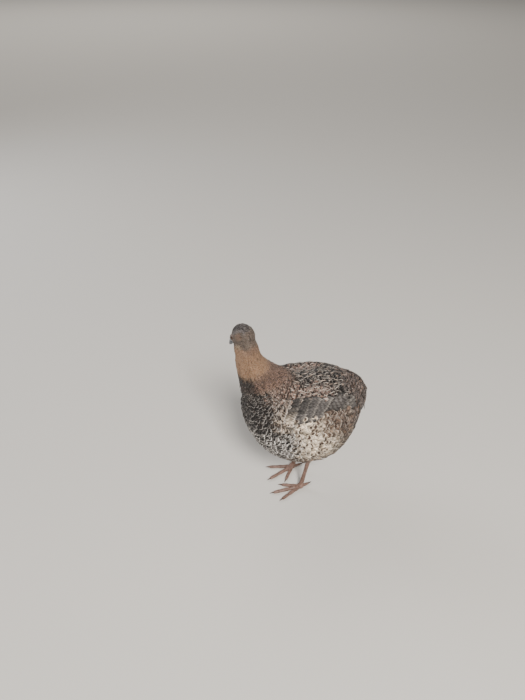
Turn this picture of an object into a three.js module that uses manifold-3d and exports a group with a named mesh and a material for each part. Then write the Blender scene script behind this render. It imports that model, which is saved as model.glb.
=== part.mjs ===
// Coturnix quail hen, life size, standing with her head turned away over the right shoulder.
// Millimetres, +Z up. She faces -X and her left side is -Y. The origin is on the floor, under the
// middle of her outline.
import * as THREE from "three";
import { mergeVertices } from "three/addons/utils/BufferGeometryUtils.js";
import Module from "manifold-3d";

const wasm = await Module();
wasm.setup();

// Driving dimensions
const GAP = 0.3; // left between two pieces that meet
const WELD = 1e-4; // points nearer than this are one point
const DEGREE = Math.PI / 180;

// Outlines in an upright plane, one row a ring: upper x and z, lower x and z, half width, and, where a ring
// stands off the plane, how far to her right.
const TORSO_RINGS = [
  [-53, 95, -53, 95, 0],
  [-50, 113, -47, 79, 21],
  [-40, 124.5, -36, 61.5, 33.5],
  [-22, 129, -19, 48, 41.5],
  [0, 129.5, 0, 41.5, 44],
  [22, 128.5, 19, 42.5, 42],
  [41, 122.5, 32.5, 52.5, 34.5],
  [53.5, 111, 43.5, 70.5, 21.5],
  [55, 93, 55, 93, 0],
];
const NECK_RINGS = [
  [-32, 106, -32, 106, 0, 0],
  [0, 126, -48, 98, 20, 0],
  [-14.5, 138.5, -53.5, 121, 18.5, 0],
  [-27, 149, -55.5, 137, 15.5, 0],
  [-34.5, 158, -57.3, 150, 12.4, -1],
  [-37.5, 168, -58, 161, 9.8, -2.6],
  [-40.5, 176, -54.5, 170, 7.2, -4.4],
  [-47, 178, -47, 178, 0, -5],
];
const HEAD_RINGS = [
  [10.6, -1, 10.6, -1, 0],
  [9, 5.8, 9, -7.4, 6.2],
  [4.4, 9.5, 4.8, -10.4, 8],
  [-1, 10, -0.5, -11, 8.4],
  [-5.8, 8, -5.4, -10, 7.2],
  [-9.3, 4.5, -9, -7.6, 4.9],
  [-11, 2.1, -10.8, -5.3, 3.2],
  [-11.4, -1.6, -11.4, -1.6, 0],
];

const HEAD_AT = [-50.5, 0, 180];
const HEAD_TURN = -60; // degrees about the upright, to her right
const HEAD_DIP = -38; // degrees, bill down

const EYE = { radius: 3, x: -4.2, y: 5.2, z: 1.6 };
const LID = { ring: 2.7, thick: 0.75, squash: 0.86, out: 1.75, back: 0.1, turn: 0.16 };
const BILL = {
  root: -11.7,
  tip: -21.8,
  height: 3.2,
  half: 2.7,
  middle: -1.3,
  droop: 2.4,
  blunt: 0.985,
  dome: 0.3,
};
const LOWER_BILL = { height: 1.9, short: 1.1 };
const NOSTRIL = { x: -13.3, z: 0.15, long: 1.25, high: 0.5, deep: 0.5, y: 1.95 };
const GAPE = { long: 3.4, high: 0.5, deep: 0.7, back: 1.2, out: 3.1, under: 1.6, turn: 0.5 };

// Feet: x forward of the ankle is negative. Toes start at the hub and spread from straight ahead.
const STANCE = 13.1; // half the distance between the feet
const HUB = { radius: 2.9, z: 2.3, squash: 0.9 };
const ANKLE = { x: 6.5, z: 36, radius: 2.5 };
const SHANK_RADIUS = 1.75;
const TOE = { taper: 0.28, swell: 0.1, level: 0.78, tipLevel: 0.62 }; // levels as shares of its thickness
const TOES = {
  inner: { turn: 24, long: 17.5, thick: 1.5, pads: 2 },
  middle: { turn: 0, long: 26.5, thick: 1.6, pads: 3 },
  outer: { turn: -25, long: 22.5, thick: 1.45, pads: 3 },
  hind: { turn: 168, long: 8.5, thick: 1.2, pads: 1 },
};
const FEET = {
  left: { side: -1, turn: 1, spread: 0.95 },
  right: { side: 1, turn: -20, spread: 1.35 },
};
const CLAW = { long: 4, thick: 0.85, taper: 0.86, arch: 0.5, tip: -0.24, floor: 0.05 };
const THIGH_RINGS = [
  [2, 62, -10, 58, 0],
  [15, 56, -12, 54, 11],
  [14.5, 48, -8, 46, 9.5],
  [12, 42, -2, 40, 6.2],
  [10.2, 37, 2.6, 35.5, 3.6],
  [6.5, 35, 6.5, 35, 0],
];

// The closed wing is laid out flat, s back from the bend and w up from its middle line, then wrapped on
// the flank in a shallow bed. A tier of vanes runs from its first to its last feather.
const WING = { start: 0.275, perLength: 1 / 152, middle: 36, slope: 16, around: 42 };
const WING_BED = { middle: 43, spread: 29, front: 4.2, rear: 1.2 };
const WING_PAD = { long: 62, low: -12, high: 12.5, front: 4.2, rear: 1 };
const WING_TIERS = [
  { count: 4, root: [[22, -7], [32, 1]], tip: [[76, -7], [88, 3]], width: 6.5, lift: 1.1 },
  { count: 6, root: [[14, -9], [36, 9]], tip: [[56, -11], [80, 9]], width: 7.5, lift: 2.5 },
  { count: 6, root: [[7, -9], [26, 10]], tip: [[36, -12], [56, 12]], width: 7.5, lift: 3.8 },
  { count: 6, root: [[4, -7], [15, 8]], tip: [[22, -11], [38, 12]], width: 7.5, lift: 4.9 },
];

const TAIL = { x: 50, z: 111, droop: 66, arch: 0.02 };
const TAIL_TIERS = [
  { count: 7, root: [[0, -4], [0, 4]], tip: [[29, -14], [29, 14]], width: 7, lift: 1.2 },
  { count: 5, root: [[-3, -6], [-3, 6]], tip: [[19, -12], [19, 12]], width: 8, lift: 2.6 },
];
const TAIL_PAD = { from: -6, to: 15, half: 10, over: 2.6, under: -3 };
// A vane's thickness at its root and tip, its cells, how it leans, its width at the root, how much the tip
// narrows, where it has risen to its lift and how much its length varies.
const VANE = {
  thick: 0.55,
  tip: 0.35,
  rows: 4,
  columns: 2,
  lean: -0.17,
  waist: 0.45,
  narrowing: 0.68,
  risen: 0.45,
  sunk: 0.4,
  varies: 1.6,
};

const paint = (color, roughness) => new THREE.MeshStandardMaterial({ color, roughness, metalness: 0 });
const MATERIALS = {
  body: paint(0x8a7358, 0.95),
  neck: paint(0xa98b60, 0.95),
  head: paint(0x6f6255, 0.95),
  wing: paint(0x77695a, 0.9),
  tail: paint(0x6a5a48, 0.9),
  bill: paint(0x8b9199, 0.45),
  eye: paint(0x14100d, 0.08),
  leg: paint(0xb9836a, 0.6),
  claw: paint(0x6b5348, 0.4),
};

// Solids

// A smooth curve through evenly spaced values, read at t from 0 to 1.
function through(values) {
  const last = values.length - 1;
  const curve = new THREE.SplineCurve(values.map((value, k) => new THREE.Vector2(k / last, value)));
  return (t) => curve.getPoint(t).y;
}

// The surface of a row of oval rings: the point at t along it and at angle phi round it, lift off it.
function ringSurface(rings) {
  const column = (k) => through(rings.map((ring) => ring[k] ?? 0));
  const [topX, topZ, lowX, lowZ, half, sway] = [0, 1, 2, 3, 4, 5].map(column);
  return (t, phi, lift = 0) => {
    const top = new THREE.Vector3(topX(t), 0, topZ(t));
    const low = new THREE.Vector3(lowX(t), 0, lowZ(t));
    const middle = top.clone().add(low).divideScalar(2);
    const height = top.distanceTo(low) / 2;
    const up = top.clone().sub(low).normalize();
    return middle
      .addScaledVector(up, (height + lift) * Math.sin(phi))
      .add(new THREE.Vector3(0, sway(t) + (half(t) + lift) * Math.cos(phi), 0));
  };
}

// A closed body over a surface, from one pole to the other.
function bodyOf(surface, around, along) {
  const geometry = new THREE.SphereGeometry(1, around, along);
  const { position, uv } = geometry.attributes;
  for (let k = 0; k < position.count; k += 1) {
    const t = 1 - uv.getY(k);
    const atPole = t < WELD || t > 1 - WELD;
    position.setXYZ(k, ...surface(t, atPole ? 0 : uv.getX(k) * 2 * Math.PI));
  }
  return geometry;
}

// A closed round bar along a curve. radius(t) is its size and floor cuts it level.
function barOf(curve, radius, around, along, floor = -Infinity) {
  const geometry = new THREE.CylinderGeometry(1, 1, 1, around, along).rotateY(Math.PI / around);
  const { position } = geometry.attributes;
  const up = new THREE.Vector3(0, 0, 1);
  for (let k = 0; k < position.count; k += 1) {
    const t = 0.5 - position.getY(k);
    const tangent = curve.getTangentAt(t);
    const across = new THREE.Vector3().crossVectors(tangent, up).normalize();
    const over = new THREE.Vector3().crossVectors(across, tangent);
    const point = curve
      .getPointAt(t)
      .addScaledVector(across, position.getX(k) * radius(t))
      .addScaledVector(over, position.getZ(k) * radius(t));
    position.setXYZ(k, point.x, point.y, Math.max(point.z, floor));
  }
  return geometry;
}

// A closed thin plate of cells, split alike on both faces. place(a, b, face) is the point at a along and
// b across, on the under face (0) or the upper one (1).
function plate(rows, columns, place) {
  const points = [];
  const at = (face, row, column) => (face * (rows + 1) + row) * (columns + 1) + column;
  for (const face of [0, 1]) {
    for (let row = 0; row <= rows; row += 1) {
      for (let column = 0; column <= columns; column += 1) {
        points.push(...place(row / rows, column / columns, face));
      }
    }
  }
  const faces = [];
  const quad = (a, b, c, d) => faces.push(a, b, c, a, c, d);
  for (let row = 0; row < rows; row += 1) {
    for (let column = 0; column < columns; column += 1) {
      const corners = [[row, column], [row + 1, column], [row + 1, column + 1], [row, column + 1]];
      const [a, b, c, d] = corners.map((corner) => at(0, ...corner));
      quad(...corners.map((corner) => at(1, ...corner)));
      faces.push(a, c, b, a, d, c);
    }
    quad(at(1, row + 1, 0), at(1, row, 0), at(0, row, 0), at(0, row + 1, 0));
    quad(at(1, row, columns), at(1, row + 1, columns), at(0, row + 1, columns), at(0, row, columns));
  }
  for (let column = 0; column < columns; column += 1) {
    quad(at(1, 0, column), at(1, 0, column + 1), at(0, 0, column + 1), at(0, 0, column));
    quad(at(1, rows, column + 1), at(1, rows, column), at(0, rows, column), at(0, rows, column + 1));
  }
  const geometry = new THREE.BufferGeometry();
  geometry.setAttribute("position", new THREE.Float32BufferAttribute(points, 3));
  geometry.setIndex(faces);
  return geometry;
}

function signedVolume(points, faces) {
  const corner = (k) => new THREE.Vector3().fromArray(points, 3 * faces[k]);
  let volume = 0;
  for (let k = 0; k < faces.length; k += 3) {
    volume += corner(k).dot(corner(k + 1).cross(corner(k + 2))) / 6;
  }
  return volume;
}

// A geometry as a closed solid with its faces turned outward.
function solidOf(geometry) {
  const bare = new THREE.BufferGeometry();
  bare.setAttribute("position", geometry.attributes.position);
  bare.setIndex(geometry.index);
  const merged = mergeVertices(bare, WELD);
  const corners = merged.index.array;
  const faces = [];
  for (let k = 0; k < corners.length; k += 3) {
    const [a, b, c] = corners.slice(k, k + 3);
    if (a !== b && b !== c && c !== a) faces.push(a, b, c);
  }
  const vertProperties = merged.attributes.position.array;
  if (signedVolume(vertProperties, faces) < 0) faces.reverse();
  return new wasm.Manifold(new wasm.Mesh({ numProp: 3, vertProperties, triVerts: Uint32Array.from(faces) }));
}

const joined = (solids) => solids.reduce((whole, next) => whole.add(next));
const less = (solid, ...cutters) => cutters.reduce((rest, cutter) => rest.subtract(cutter), solid);

// The same body, larger by the gap all round.
function grown(geometry) {
  const bare = new THREE.BufferGeometry();
  bare.setAttribute("position", geometry.attributes.position);
  bare.setIndex(geometry.index);
  const merged = mergeVertices(bare, WELD);
  merged.computeVertexNormals();
  const { position, normal } = merged.attributes;
  const outward = signedVolume(position.array, merged.index.array) < 0 ? -GAP : GAP;
  for (let k = 0; k < position.count; k += 1) {
    const point = new THREE.Vector3().fromBufferAttribute(position, k);
    const away = new THREE.Vector3().fromBufferAttribute(normal, k);
    position.setXYZ(k, ...point.addScaledVector(away, outward));
  }
  return solidOf(merged);
}

// A named mesh of the largest closed body in a solid.
function meshOf(name, solid, material) {
  const bodies = solid.decompose().sort((a, b) => b.volume() - a.volume());
  const { vertProperties, triVerts } = bodies[0].getMesh();
  const geometry = new THREE.BufferGeometry();
  geometry.setAttribute("position", new THREE.Float32BufferAttribute(vertProperties, 3));
  geometry.setIndex([...triVerts]);
  geometry.computeVertexNormals();
  const mesh = new THREE.Mesh(geometry, material);
  mesh.name = name;
  return mesh;
}

function ball(radius, centre, scale = [1, 1, 1], around = 12, along = 8) {
  return new THREE.SphereGeometry(radius, around, along).scale(...scale).translate(...centre);
}

// Vanes

// One feather on a surface(s, w, h), from root to tip. It rises off the surface from its sunk root to its
// lift, leans over its neighbour, is widest past the middle and ends round.
function vane(surface, { root, tip, width, lift, sunk }) {
  const along = new THREE.Vector2(tip[0] - root[0], tip[1] - root[1]);
  const across = new THREE.Vector2(-along.y, along.x).normalize();
  return plate(VANE.rows, VANE.columns, (a, b, face) => {
    const t = 1 - (1 - a) ** 1.5;
    const outline = Math.min(1, VANE.waist + 1.3 * t) * (1 - VANE.narrowing * t ** 6);
    const off = (b - 0.5) * width * outline;
    const thick = THREE.MathUtils.lerp(VANE.thick, VANE.tip, t ** 4);
    const rise = THREE.MathUtils.smoothstep(t, 0, VANE.risen);
    const height = THREE.MathUtils.lerp(sunk, lift, rise) + VANE.lean * off * rise + (face - 0.5) * thick;
    return surface(root[0] + along.x * t + across.x * off, root[1] + along.y * t + across.y * off, height);
  });
}

// The feathers of one tier, spread evenly from its first to its last, each a little off in length.
function tierOf(surface, tier, random) {
  const feathers = [];
  for (let k = 0; k < tier.count; k += 1) {
    const share = k / (tier.count - 1);
    const between = ([first, last]) => first.map((value, i) => THREE.MathUtils.lerp(value, last[i], share));
    const root = between(tier.root);
    const tip = between(tier.tip);
    tip[0] += (random() - 0.5) * VANE.varies;
    feathers.push(solidOf(vane(surface, { ...tier, root, tip, sunk: tier.lift * VANE.sunk })));
  }
  return feathers;
}

// Seeded random numbers from 0 to 1.
function randomFrom(seed) {
  let state = seed;
  return () => {
    state = (state * 16807) % 2147483647;
    return state / 2147483647;
  };
}

// Body

const torsoOutline = ringSurface(TORSO_RINGS);

// The torso, pressed in a little where each closed wing lies.
function torsoSurface(t, phi, lift = 0) {
  const fromMiddle = Math.abs(Math.asin(Math.min(1, Math.sin(phi))) / DEGREE - WING_BED.middle);
  const length = THREE.MathUtils.smoothstep(t, 0.2, 0.32) * (1 - THREE.MathUtils.smoothstep(t, 0.8, 0.95));
  const depth = THREE.MathUtils.lerp(WING_BED.front, WING_BED.rear, THREE.MathUtils.smoothstep(t, 0.35, 0.8));
  return torsoOutline(t, phi, lift - depth * length * Math.exp(-((fromMiddle / WING_BED.spread) ** 4)));
}

const torsoBody = bodyOf(torsoSurface, 34, 24);
const torsoRoom = grown(torsoBody);

const headPose = new THREE.Matrix4().compose(
  new THREE.Vector3(...HEAD_AT),
  new THREE.Quaternion().setFromEuler(new THREE.Euler(0, HEAD_DIP * DEGREE, HEAD_TURN * DEGREE, "ZYX")),
  new THREE.Vector3(1, 1, 1),
);
const headBody = bodyOf(ringSurface(HEAD_RINGS), 24, 16);

function neck() {
  const column = solidOf(bodyOf(ringSurface(NECK_RINGS), 20, 13));
  return less(column, torsoRoom, grown(headBody.clone().applyMatrix4(headPose)));
}

// Head

// Both sides of the head at once: a value for her left and one for her right.
const SIDES = { left: -1, right: 1 };
const eyeCentre = (side) => [EYE.x, side * EYE.y, EYE.z];

function lid(side) {
  return new THREE.TorusGeometry(LID.ring, LID.thick, 6, 16)
    .scale(1, LID.squash, 1)
    .rotateX(Math.PI / 2)
    .rotateZ(side * LID.turn)
    .translate(EYE.x - LID.back, side * (EYE.y + LID.out), EYE.z);
}

function gape(side) {
  return new THREE.BoxGeometry(GAPE.long, 2 * GAPE.deep, GAPE.high)
    .rotateZ(side * GAPE.turn)
    .translate(BILL.root + GAPE.back, side * GAPE.out, BILL.middle - GAPE.under);
}

function headSolid() {
  const sides = Object.values(SIDES);
  const skull = joined([solidOf(headBody), ...sides.map((side) => solidOf(lid(side)))]);
  const sockets = sides.map((side) => solidOf(ball(EYE.radius + GAP, eyeCentre(side))));
  return less(skull, ...sockets, ...sides.map((side) => solidOf(gape(side))));
}

// A half of the bill is a lofted bar, flat where the halves meet and curved down to its tip.
function billSurface(upper) {
  const reach = upper ? BILL.tip : BILL.tip + LOWER_BILL.short;
  const height = upper ? BILL.height : LOWER_BILL.height;
  const edge = BILL.middle + (upper ? GAP / 2 : -GAP / 2);
  return (t, phi) => {
    const x = THREE.MathUtils.lerp(BILL.root, reach, t);
    const taper = Math.sqrt(Math.max(0, 1 - t ** 2.2));
    const fall = -BILL.droop * ((x - BILL.root) / (BILL.tip - BILL.root)) ** 2.5;
    const rise = Math.max(0, Math.sin(phi)) * height * taper * (upper ? 1 : -1);
    return new THREE.Vector3(x, Math.cos(phi) * BILL.half * taper, edge + fall + rise);
  };
}

function billHalf(upper) {
  const geometry = new THREE.CylinderGeometry(1, 1, 1, 14, 7);
  const surface = billSurface(upper);
  const { position } = geometry.attributes;
  for (let k = 0; k < position.count; k += 1) {
    const onRim = Math.hypot(position.getX(k), position.getZ(k)) > 0.5;
    const t = Math.min(0.5 - position.getY(k), BILL.blunt);
    const point = surface(t, Math.atan2(position.getZ(k), position.getX(k)));
    if (!onRim) point.set(point.x, 0, surface(t, 0).z + (upper ? BILL.dome : -BILL.dome));
    position.setXYZ(k, ...point);
  }
  return solidOf(geometry);
}

function nostril(side) {
  const { x, y, z, long, high, deep } = NOSTRIL;
  return solidOf(ball(1, [x, side * y, z], [long, deep, high], 10, 6));
}

// Wings

function wingSurface(side) {
  return (s, w, h) => {
    const t = WING.start + s * WING.perLength;
    const phi = (WING.middle + WING.slope * (s / 100)) * DEGREE + w / WING.around;
    return torsoSurface(t, side > 0 ? phi : Math.PI - phi, h + GAP);
  };
}

function wing(side, seed) {
  const surface = wingSurface(side);
  const { long, low, high, front, rear } = WING_PAD;
  const pad = plate(8, 5, (a, b, face) => {
    const edge = Math.sqrt(Math.sin(Math.PI * THREE.MathUtils.clamp(b, 0.04, 0.96)));
    const nose = Math.sqrt(Math.min(1, 0.1 + 5 * a));
    const w = THREE.MathUtils.lerp(low, high, b) * THREE.MathUtils.lerp(0.7, 1, nose);
    return surface(a * long, w, face * THREE.MathUtils.lerp(front, rear, a) * edge * nose);
  });
  const random = randomFrom(seed);
  const tiers = WING_TIERS.map((tier) => tierOf(surface, tier, random));
  return less(joined([solidOf(pad), ...tiers.flat()]), torsoRoom);
}

// Tail

function tailSurface(s, w, h) {
  const droop = TAIL.droop * DEGREE;
  const back = new THREE.Vector3(Math.cos(droop), 0, -Math.sin(droop));
  const up = new THREE.Vector3(Math.sin(droop), 0, Math.cos(droop));
  return new THREE.Vector3(TAIL.x, w, TAIL.z)
    .addScaledVector(back, s)
    .addScaledVector(up, h - TAIL.arch * w * w);
}

function tail() {
  const random = randomFrom(7);
  const { from, to, half, over, under } = TAIL_PAD;
  const pad = plate(6, 4, (a, b, face) =>
    tailSurface(
      THREE.MathUtils.lerp(from, to, a),
      THREE.MathUtils.lerp(-half, half, b),
      face ? over * (1 - a / 2) : under * (1 - a),
    ),
  );
  const tiers = TAIL_TIERS.map((tier) => tierOf(tailSurface, tier, random));
  return less(joined([solidOf(pad), ...tiers.flat()]), torsoRoom);
}

// Legs

const atFoot = (side, x, z) => new THREE.Vector3(x, side * STANCE, z);
const ankleBall = (side) => ball(ANKLE.radius, atFoot(side, ANKLE.x, ANKLE.z), [1.15, 0.95, 1.1]);

function shankBar(side) {
  const curve = new THREE.CatmullRomCurve3([
    atFoot(side, ANKLE.x, ANKLE.z),
    atFoot(side, ANKLE.x * 0.62, ANKLE.z * 0.6),
    atFoot(side, 0.6, HUB.z + 1.2),
  ]);
  return barOf(curve, (t) => SHANK_RADIUS * (1 + 0.12 * Math.cos(2 * Math.PI * t)), 8, 6);
}

// The ball of the foot, cut level by the floor.
function hubBall(side) {
  const hub = new THREE.SphereGeometry(HUB.radius, 12, 8)
    .rotateX(Math.PI / 2)
    .scale(1.05, 1, HUB.squash)
    .translate(...atFoot(side, 0, HUB.z));
  const { position } = hub.attributes;
  for (let k = 0; k < position.count; k += 1) position.setZ(k, Math.max(0, position.getZ(k)));
  return hub;
}

const shank = (side) => joined([ankleBall(side), shankBar(side), hubBall(side)].map(solidOf));

function thigh(side) {
  const surface = ringSurface(THIGH_RINGS);
  const body = bodyOf((t, phi) => surface(t, phi).add(atFoot(side, 0, 0)), 14, 10);
  return less(solidOf(body), torsoRoom, grown(ankleBall(side)), grown(shankBar(side)));
}

// A toe or claw as it points along +X from the middle of the foot.
function toeBar(toe) {
  const curve = new THREE.LineCurve3(
    new THREE.Vector3(HUB.radius / 2, 0, toe.thick * TOE.level),
    new THREE.Vector3(toe.long, 0, toe.thick * TOE.tipLevel),
  );
  const pads = (t) => 1 + TOE.swell * Math.cos(2 * Math.PI * toe.pads * (t - 0.5 / toe.pads));
  return barOf(curve, (t) => toe.thick * (1 - TOE.taper * t) * pads(t), 8, 4 * toe.pads, 0);
}

function clawBar(toe) {
  const start = toe.long + 1.5 * GAP;
  const level = toe.thick * TOE.tipLevel;
  const curve = new THREE.QuadraticBezierCurve3(
    new THREE.Vector3(start, 0, level),
    new THREE.Vector3(start + CLAW.long / 2, 0, level + CLAW.arch),
    new THREE.Vector3(start + CLAW.long, 0, level + CLAW.tip),
  );
  return barOf(curve, (t) => CLAW.thick * (1 - CLAW.taper * t), 6, 4, CLAW.floor);
}

function placedToe(geometry, foot, toe) {
  const spread = Math.abs(toe.turn) < 90 ? foot.spread : 1;
  const turn = 180 + foot.side * (toe.turn * spread - foot.turn);
  return geometry.rotateZ(turn * DEGREE).translate(0, foot.side * STANCE, 0);
}

// The bird

const bird = new THREE.Group();
bird.add(meshOf("torso", solidOf(torsoBody), MATERIALS.body));
bird.add(meshOf("neck", neck(), MATERIALS.neck));
bird.add(meshOf("tail", tail(), MATERIALS.tail));

const headGroup = new THREE.Group();
headGroup.applyMatrix4(headPose);
headGroup.add(meshOf("head", headSolid(), MATERIALS.head));
headGroup.add(meshOf("bill_upper", less(billHalf(true), nostril(-1), nostril(1)), MATERIALS.bill));
headGroup.add(meshOf("bill_lower", billHalf(false), MATERIALS.bill));
for (const [name, side] of Object.entries(SIDES)) {
  headGroup.add(meshOf(`eye_${name}`, solidOf(ball(EYE.radius, eyeCentre(side))), MATERIALS.eye));
}
bird.add(headGroup);

for (const [name, foot] of Object.entries(FEET)) {
  bird.add(meshOf(`wing_${name}`, wing(foot.side, 11 + foot.side), MATERIALS.wing));
  bird.add(meshOf(`thigh_${name}`, thigh(foot.side), MATERIALS.body));
  bird.add(meshOf(`shank_${name}`, shank(foot.side), MATERIALS.leg));
  const hubRoom = grown(hubBall(foot.side));
  const middleRoom = grown(placedToe(toeBar(TOES.middle), foot, TOES.middle));
  for (const [part, toe] of Object.entries(TOES)) {
    const bar = less(solidOf(placedToe(toeBar(toe), foot, toe)), hubRoom);
    bird.add(meshOf(`toe_${name}_${part}`, toe === TOES.middle ? bar : less(bar, middleRoom), MATERIALS.leg));
    bird.add(meshOf(`claw_${name}_${part}`, solidOf(placedToe(clawBar(toe), foot, toe)), MATERIALS.claw));
  }
}

// Set the origin under the middle of the outline.
bird.updateMatrixWorld(true);
const outline = new THREE.Box3().setFromObject(bird, true);
bird.position.set(-(outline.min.x + outline.max.x) / 2, -(outline.min.y + outline.max.y) / 2, -outline.min.z);

const part = new THREE.Group();
part.add(bird);
export default part;
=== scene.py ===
import math

import bmesh
import bpy
import numpy as np
from mathutils import Matrix, Vector
from mathutils.bvhtree import BVHTree
from mathutils.kdtree import KDTree


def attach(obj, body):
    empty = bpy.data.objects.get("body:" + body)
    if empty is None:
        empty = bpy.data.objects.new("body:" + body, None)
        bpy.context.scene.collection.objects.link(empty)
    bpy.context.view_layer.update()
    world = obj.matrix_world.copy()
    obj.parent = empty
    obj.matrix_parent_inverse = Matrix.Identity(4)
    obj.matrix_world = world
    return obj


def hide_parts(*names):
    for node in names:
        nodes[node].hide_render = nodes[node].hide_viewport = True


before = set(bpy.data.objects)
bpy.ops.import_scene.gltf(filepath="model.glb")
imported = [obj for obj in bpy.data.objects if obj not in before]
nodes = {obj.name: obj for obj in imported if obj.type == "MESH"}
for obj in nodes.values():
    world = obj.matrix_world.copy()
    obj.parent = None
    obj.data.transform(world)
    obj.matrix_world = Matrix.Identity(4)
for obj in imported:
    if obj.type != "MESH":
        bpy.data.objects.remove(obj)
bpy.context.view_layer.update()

mm = 0.001
shiftX = -1.386  # mm, how far the solids were moved so that the origin is under their middle
axisZ = 86  # mm, the height of the body's long axis
turnZ = 165  # mm, the neck's front turns into the back along an arc round this height


def linear(text):  # a hex colour as linear red, green and blue
    parts = [int(text[k:k + 2], 16) / 255 for k in (0, 2, 4)]
    return np.array([p / 12.92 if p <= 0.04045 else ((p + 0.055) / 1.055) ** 2.4 for p in parts])


def rise(value, low, high):  # 0 below low, 1 above high, smooth between
    t = np.clip((value - low) / (high - low), 0, 1)
    return t * t * (3 - 2 * t)


def unit(vectors):
    return vectors / (np.linalg.norm(vectors, axis=-1, keepdims=True) + 1e-12)


def addObject(name, mesh):
    thing = bpy.data.objects.new(name, mesh)
    bpy.context.scene.collection.objects.link(thing)
    return thing


def settle(piece, slot, *replaced):  # on its body, hiding what it stands for; slot is not used
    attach(piece, "root")
    if replaced:
        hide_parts(*replaced)


class Board:  # a material's node tree, with short calls for the nodes used here
    def __init__(self, name, roughness, **more):
        self.material = bpy.data.materials.new(name)
        self.material.use_nodes = True
        self.tree = self.material.node_tree
        self.shader = self.tree.nodes["Principled BSDF"]
        for key, value in {"Roughness": roughness, **more}.items():
            self.shader.inputs[key.replace("_", " ")].default_value = value

    def plug(self, value, socket):
        if isinstance(value, bpy.types.NodeSocket):
            self.tree.links.new(value, socket)
        else:
            socket.default_value = (*value, 1) if isinstance(value, np.ndarray) else value

    def add(self, kind, inputs=(), **settings):  # inputs by their number or name
        node = self.tree.nodes.new("ShaderNode" + kind)
        for key, value in settings.items():
            setattr(node, key, value)
        for key, value in dict(inputs).items():
            self.plug(value, node.inputs[key])
        return node

    def calc(self, operation, *values):
        return self.add("Math", enumerate(values), operation=operation).outputs[0]

    def times(self, first, second):
        return self.calc("MULTIPLY", first, second)

    def ramp(self, value, low, high, first=0.0, last=1.0):
        given = enumerate((value, low, high, first, last))
        return self.add("MapRange", given, interpolation_type="SMOOTHSTEP").outputs[0]

    def mix(self, factor, first, second, blend="MIX"):
        return self.add("Mix", {0: factor, 6: first, 7: second}, data_type="RGBA", blend_type=blend).outputs[2]

    def split(self, vector):
        return self.add("SeparateXYZ", {0: vector}).outputs

    def attribute(self, name, output="Vector"):
        return self.add("Attribute", attribute_name=name).outputs[output]

    def place(self):
        return self.add("TexCoord").outputs["Object"]

    def noise(self, scale, detail):
        given = {"Vector": self.place(), "Scale": scale, "Detail": detail, "Roughness": 0.55}
        return self.add("TexNoise", given).outputs[0]

    def mottle(self, grain, tones, low=0.3, high=0.7):  # two colours, mixed by a noise
        return self.mix(self.ramp(grain, low, high), *map(linear, tones))

    def bump(self, height, strength, distance):
        bumped = self.add("Bump", {"Strength": strength, "Distance": distance, "Height": height})
        self.plug(bumped.outputs[0], self.shader.inputs["Normal"])

    def colour(self, value):
        self.plug(value, self.shader.inputs["Base Color"])


def aim(thing, at, way):
    thing.location = at
    thing.rotation_mode = "QUATERNION"
    thing.rotation_quaternion = Vector(way).to_track_quat("-Z", "Y")


cameraSet = {
    "at": (-0.1261, -0.337, 0.42),
    "toward": (0.2083, 0.7775, -0.5934),
    "lens": 27.86,
}

cameraData = bpy.data.cameras.new("camera")
cameraData.lens = cameraSet["lens"]
cameraData.clip_start = 0.01
cameraData.clip_end = 20
camera = addObject("camera", cameraData)
aim(camera, cameraSet["at"], cameraSet["toward"])
bpy.context.scene.camera = camera

stageSet = {
    "half": 10.0,
    "colour": "cfccc6",
    "world": "d0cecb",
    "worldStrength": 0.36,
    "lamps": [  # place, what it looks at, width, watts, colour
        ("key", (-0.05, -1.0, 1.15), (0, 0, 0.1), 0.34, 32, "fffaf4"),
        ("fill", (-1.1, -0.6, 0.8), (0, 0, 0.08), 1.2, 1.5, "f4f4ff"),
        ("rim", (-0.8, 0.9, 0.75), (0, 0, 0.1), 0.5, 6, "f6f8ff"),
        ("far", (0, 4.5, 3.5), (0, 4.5, 0), 4.0, 130, "fffaf4"),  # lights the floor behind
    ],
}


def makeStage():
    grid = bmesh.new()
    bmesh.ops.create_grid(grid, x_segments=4, y_segments=4, size=stageSet["half"])
    mesh = bpy.data.meshes.new("floor")
    grid.to_mesh(mesh)
    grid.free()
    floor = addObject("floor", mesh)
    matte = Board("floor", 0.9)
    matte.colour(linear(stageSet["colour"]))
    mesh.materials.append(matte.material)
    world = bpy.data.worlds.new("studio")
    world.use_nodes = True
    backdrop = world.node_tree.nodes["Background"]
    backdrop.inputs["Color"].default_value = (*linear(stageSet["world"]), 1)
    backdrop.inputs["Strength"].default_value = stageSet["worldStrength"]
    bpy.context.scene.world = world
    for name, at, target, width, watts, colour in stageSet["lamps"]:
        lamp = bpy.data.lights.new(name, "AREA")
        lamp.size = width
        lamp.energy = watts
        lamp.color = linear(colour)
        aim(addObject(name, lamp), at, Vector(target) - Vector(at))


makeStage()
print("stage ready")


plumageSet = {
    "down": "57504a",
    "roughness": 0.8,
    "sheen": 0.06,
    "barbs": 46,  # pairs of fine lines on one vane
    "sweep": 16,  # how far they lean to the tip
    "overlapShade": 0.62,  # painted shade: how dark a vane is where the next ones lie over it
    "fine": 1500, "specks": 2400, "clouds": 170,  # scales of the noises, over a metre
}


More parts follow.
